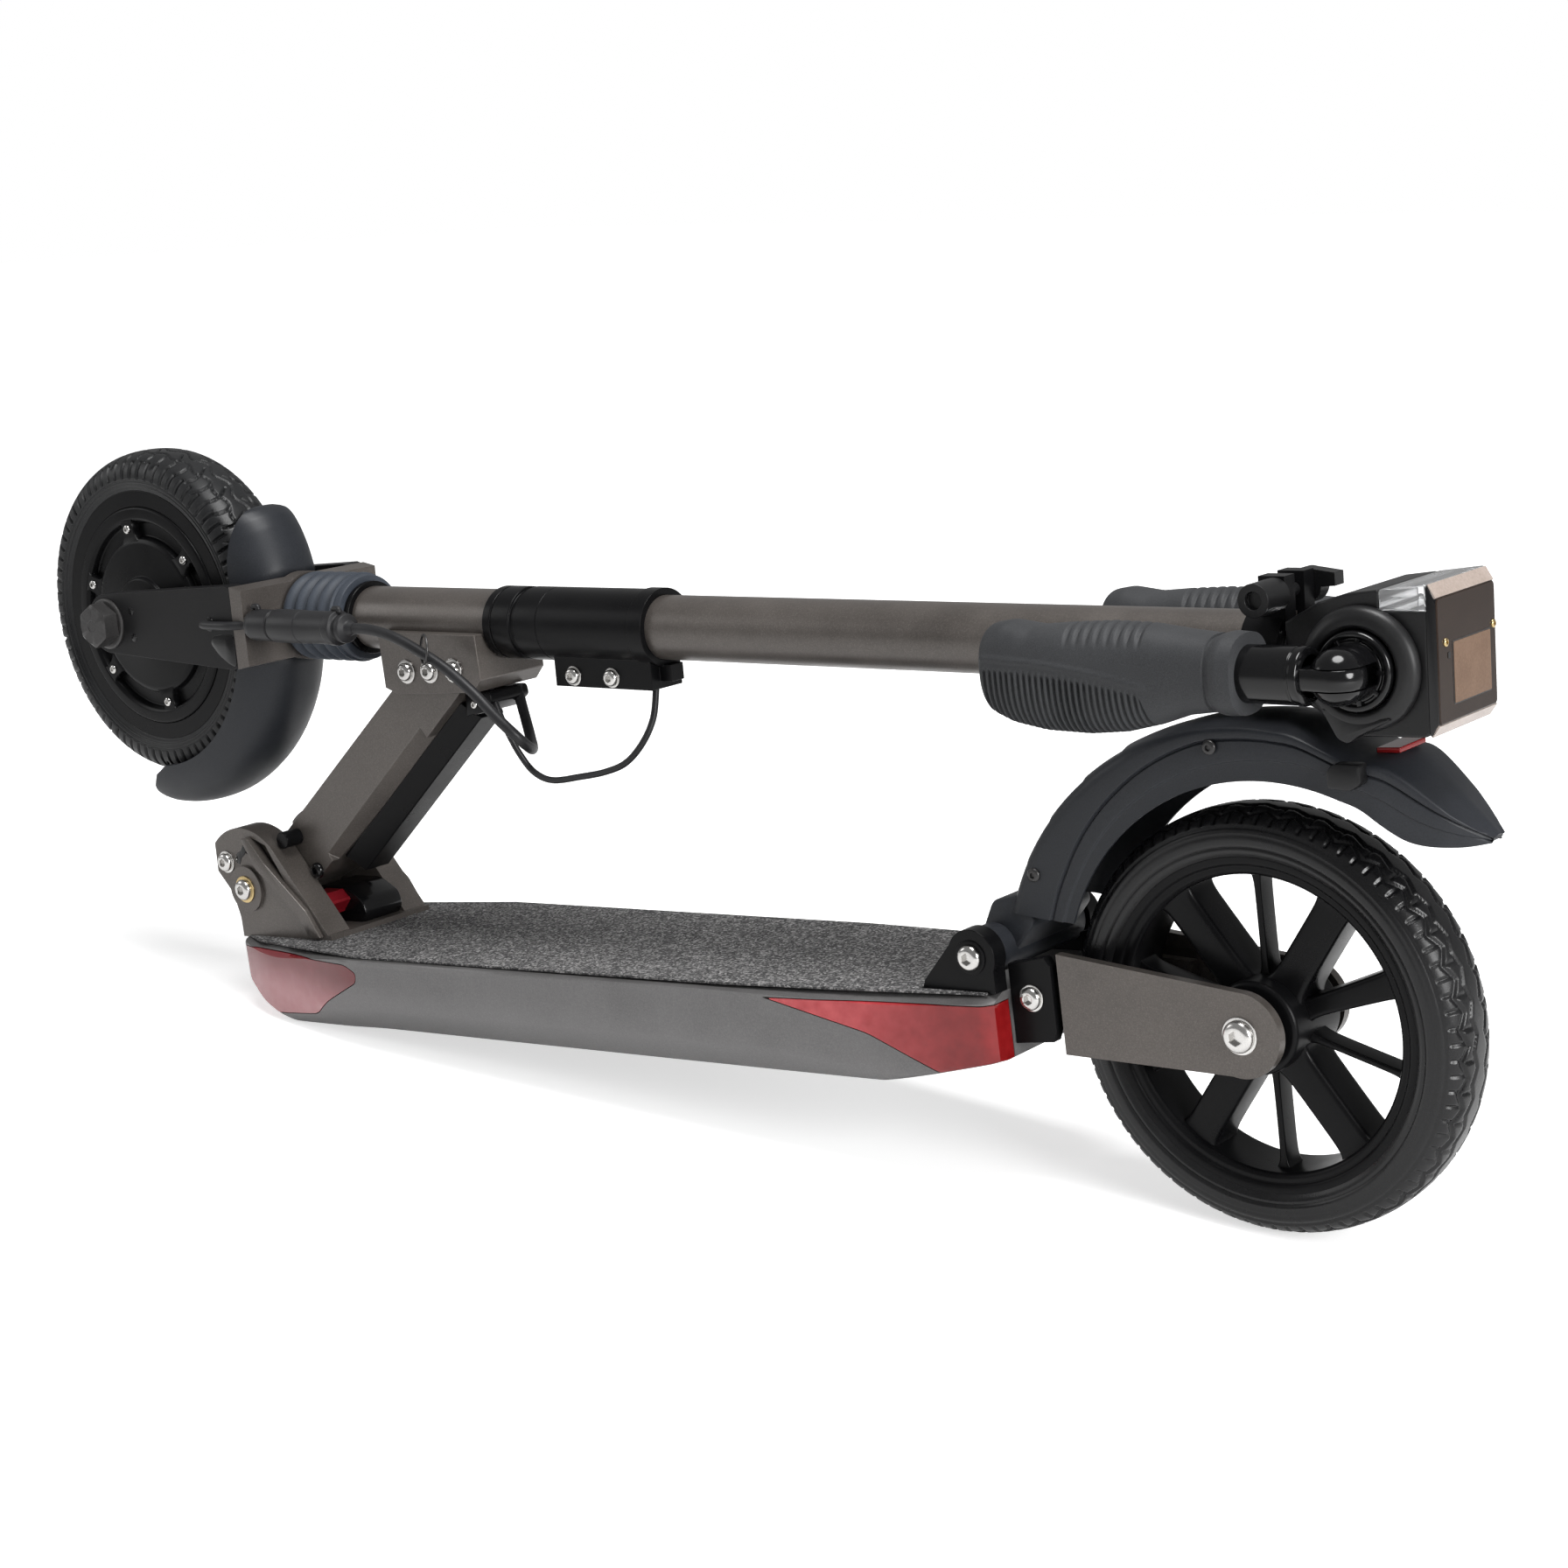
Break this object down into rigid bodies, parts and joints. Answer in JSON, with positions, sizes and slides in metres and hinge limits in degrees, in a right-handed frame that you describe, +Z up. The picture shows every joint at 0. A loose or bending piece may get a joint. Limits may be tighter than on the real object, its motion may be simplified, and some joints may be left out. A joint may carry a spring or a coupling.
{
  "type": "folding electric kick scooter",
  "caption": "Folding electric kick scooter in its folded state: stem laid back over the deck, hub-motor front wheel, spoked rear wheel, foot brake mudguard, display head and fold-in handles.",
  "frame": {"origin": "on the floor, under the middle of the folded scooter's outline", "axes": "+X from the front wheel to the rear wheel, +Y to the rider's right when the scooter is ridden, +Z up from the floor"},
  "size_m": [0.9742, 0.14, 0.3276],
  "materials": {
    "frame_paint": "satin metallic paint",
    "black_metal": "black satin coating",
    "steel": "bright stainless",
    "bright_tube": "polished",
    "grip_rubber": "matte ribbed",
    "black_rubber": "matte",
    "tyre": "satin",
    "red_lens": "clear red",
    "red_plastic": "moulded",
    "guard_plastic": "matte slate",
    "black_plastic": "fine grain",
    "display": "glossy dark",
    "lcd": "smoked screen",
    "clear_lens": "clear",
    "grip_sheet": "sandpaper grit",
    "battery_wrap": "shrink wrap",
    "controller_case": "die cast",
    "windings": "copper windings"
  },
  "bodies": {
    "frame": {"deck_shell": "frame_paint", "grip_tape": "grip_sheet", "bottom_cover": "black_plastic", "battery_pack": "battery_wrap", "controller": "controller_case", "front_lens": "red_lens", "rear_lenses": "red_lens", "hinge_bracket": "frame_paint", "fold_bolts": "steel", "rear_bracket": "black_metal", "rear_pins": "steel"},
    "pedal": {"lock_pedal": "red_plastic"},
    "front_frame": {"arm": "frame_paint", "arm_trim": "black_metal", "flange_bolts": "steel", "head_tube": "frame_paint", "headset_cups": "black_metal", "motor_cable": "black_rubber", "signal_cable": "black_rubber"},
    "steering": {"steerer": "steel", "stem_sleeve": "black_metal", "sleeve_bolts": "steel", "stem_tube": "frame_paint", "height_clamp": "black_metal", "clamp_knob": "black_plastic", "bellows": "black_rubber", "fork_spring": "steel"},
    "clamp": {"clamp_lever": "black_plastic"},
    "fork": {"fork_crown": "frame_paint", "fork_legs": "guard_plastic", "front_mudguard": "guard_plastic", "front_axle": "steel", "motor_stator": "windings", "motor_plug": "black_rubber"},
    "front_wheel": {"front_tyre": "tyre", "motor_drum": "black_metal", "motor_covers": "black_metal"},
    "upper_stem": {"inner_tube": "bright_tube", "head_shell": "black_plastic", "display_cover": "display", "lcd_panel": "lcd", "headlight_lens": "clear_lens", "handle_clevis": "black_metal"},
    "left_thumb": {"brake_lever": "black_plastic"},
    "right_thumb": {"throttle_lever": "black_plastic"},
    "left_bar": {"left_handle": "black_metal", "left_grip": "grip_rubber"},
    "right_bar": {"right_handle": "black_metal", "right_grip": "grip_rubber"},
    "mudguard": {"rear_mudguard": "guard_plastic", "brake_pad": "black_rubber", "tail_lens": "red_lens", "guard_screws": "steel"},
    "swing": {"swing_arm": "frame_paint", "rear_axle": "steel"},
    "rear_wheel": {"rear_rim": "black_metal", "rear_tyre": "tyre", "rear_bearings": "steel"}
  },
  "joints": [
    {"name": "fold", "type": "hinge", "parent": "frame", "child": "front_frame", "pos_m": [-0.29271, 0, 0.07189], "axis": [0, -1, 0], "range_deg": [0, 79]},
    {"name": "pedal_press", "type": "hinge", "parent": "frame", "child": "pedal", "pos_m": [-0.25884, 0, 0.05647], "axis": [0, 1, 0], "range_deg": [0, 12], "stiffness_Nm_per_rad": 3, "springref_deg": -14.32},
    {"name": "steer", "type": "hinge", "parent": "front_frame", "child": "steering", "pos_m": [-0.15247, 0, 0.24056], "axis": [0.9985, 0, 0.0552], "range_deg": [-12, 12], "deforming": ["motor_cable", "signal_cable"]},
    {"name": "clamp_open", "type": "hinge", "parent": "steering", "child": "clamp", "pos_m": [0.38727, 0, 0.29643], "axis": [0, -1, 0], "range_deg": [0, 100]},
    {"name": "fork_travel", "type": "slide", "parent": "steering", "child": "fork", "axis": [0.9985, 0, 0.0552], "range_m": [0, 0.012], "stiffness_N_per_m": 30000, "springref_m": -0.005, "deforming": ["bellows", "fork_spring", "motor_cable"]},
    {"name": "front_spin", "type": "hinge", "parent": "fork", "child": "front_wheel", "pos_m": [-0.38711, 0, 0.22759], "axis": [0, 1, 0], "continuous": true},
    {"name": "height", "type": "slide", "parent": "steering", "child": "upper_stem", "axis": [0.9985, 0, 0.0552], "range_m": [0, 0.26]},
    {"name": "brake_press", "type": "hinge", "parent": "upper_stem", "child": "left_thumb", "pos_m": [0.43774, -0.032, 0.27118], "axis": [0, 1, 0], "range_deg": [0, 25], "stiffness_Nm_per_rad": 0.2, "springref_deg": -17.19},
    {"name": "throttle_press", "type": "hinge", "parent": "upper_stem", "child": "right_thumb", "pos_m": [0.43774, 0.032, 0.27118], "axis": [0, 1, 0], "range_deg": [0, 25], "stiffness_Nm_per_rad": 0.2, "springref_deg": -17.19},
    {"name": "left_bar_fold", "type": "hinge", "parent": "upper_stem", "child": "left_bar", "pos_m": [0.43774, -0.05, 0.27118], "axis": [-0.0552, 0, 0.9985], "range_deg": [0, 90]},
    {"name": "right_bar_fold", "type": "hinge", "parent": "upper_stem", "child": "right_bar", "pos_m": [0.43774, 0.05, 0.27118], "axis": [0.0552, 0, -0.9985], "range_deg": [0, 90]},
    {"name": "mudguard_press", "type": "hinge", "parent": "frame", "child": "mudguard", "pos_m": [0.24448, 0, 0.11781], "axis": [0, -1, 0], "range_deg": [-5.4, 0], "stiffness_Nm_per_rad": 20, "springref_deg": 3.44},
    {"name": "rear_suspension", "type": "hinge", "parent": "frame", "child": "swing", "pos_m": [0.27067, 0, 0.09903], "axis": [0, -1, 0], "range_deg": [0, 4], "stiffness_Nm_per_rad": 500, "springref_deg": -2.86},
    {"name": "rear_spin", "type": "hinge", "parent": "swing", "child": "rear_wheel", "pos_m": [0.38121, 0, 0.1], "axis": [0, 1, 0], "continuous": true}
  ]
}
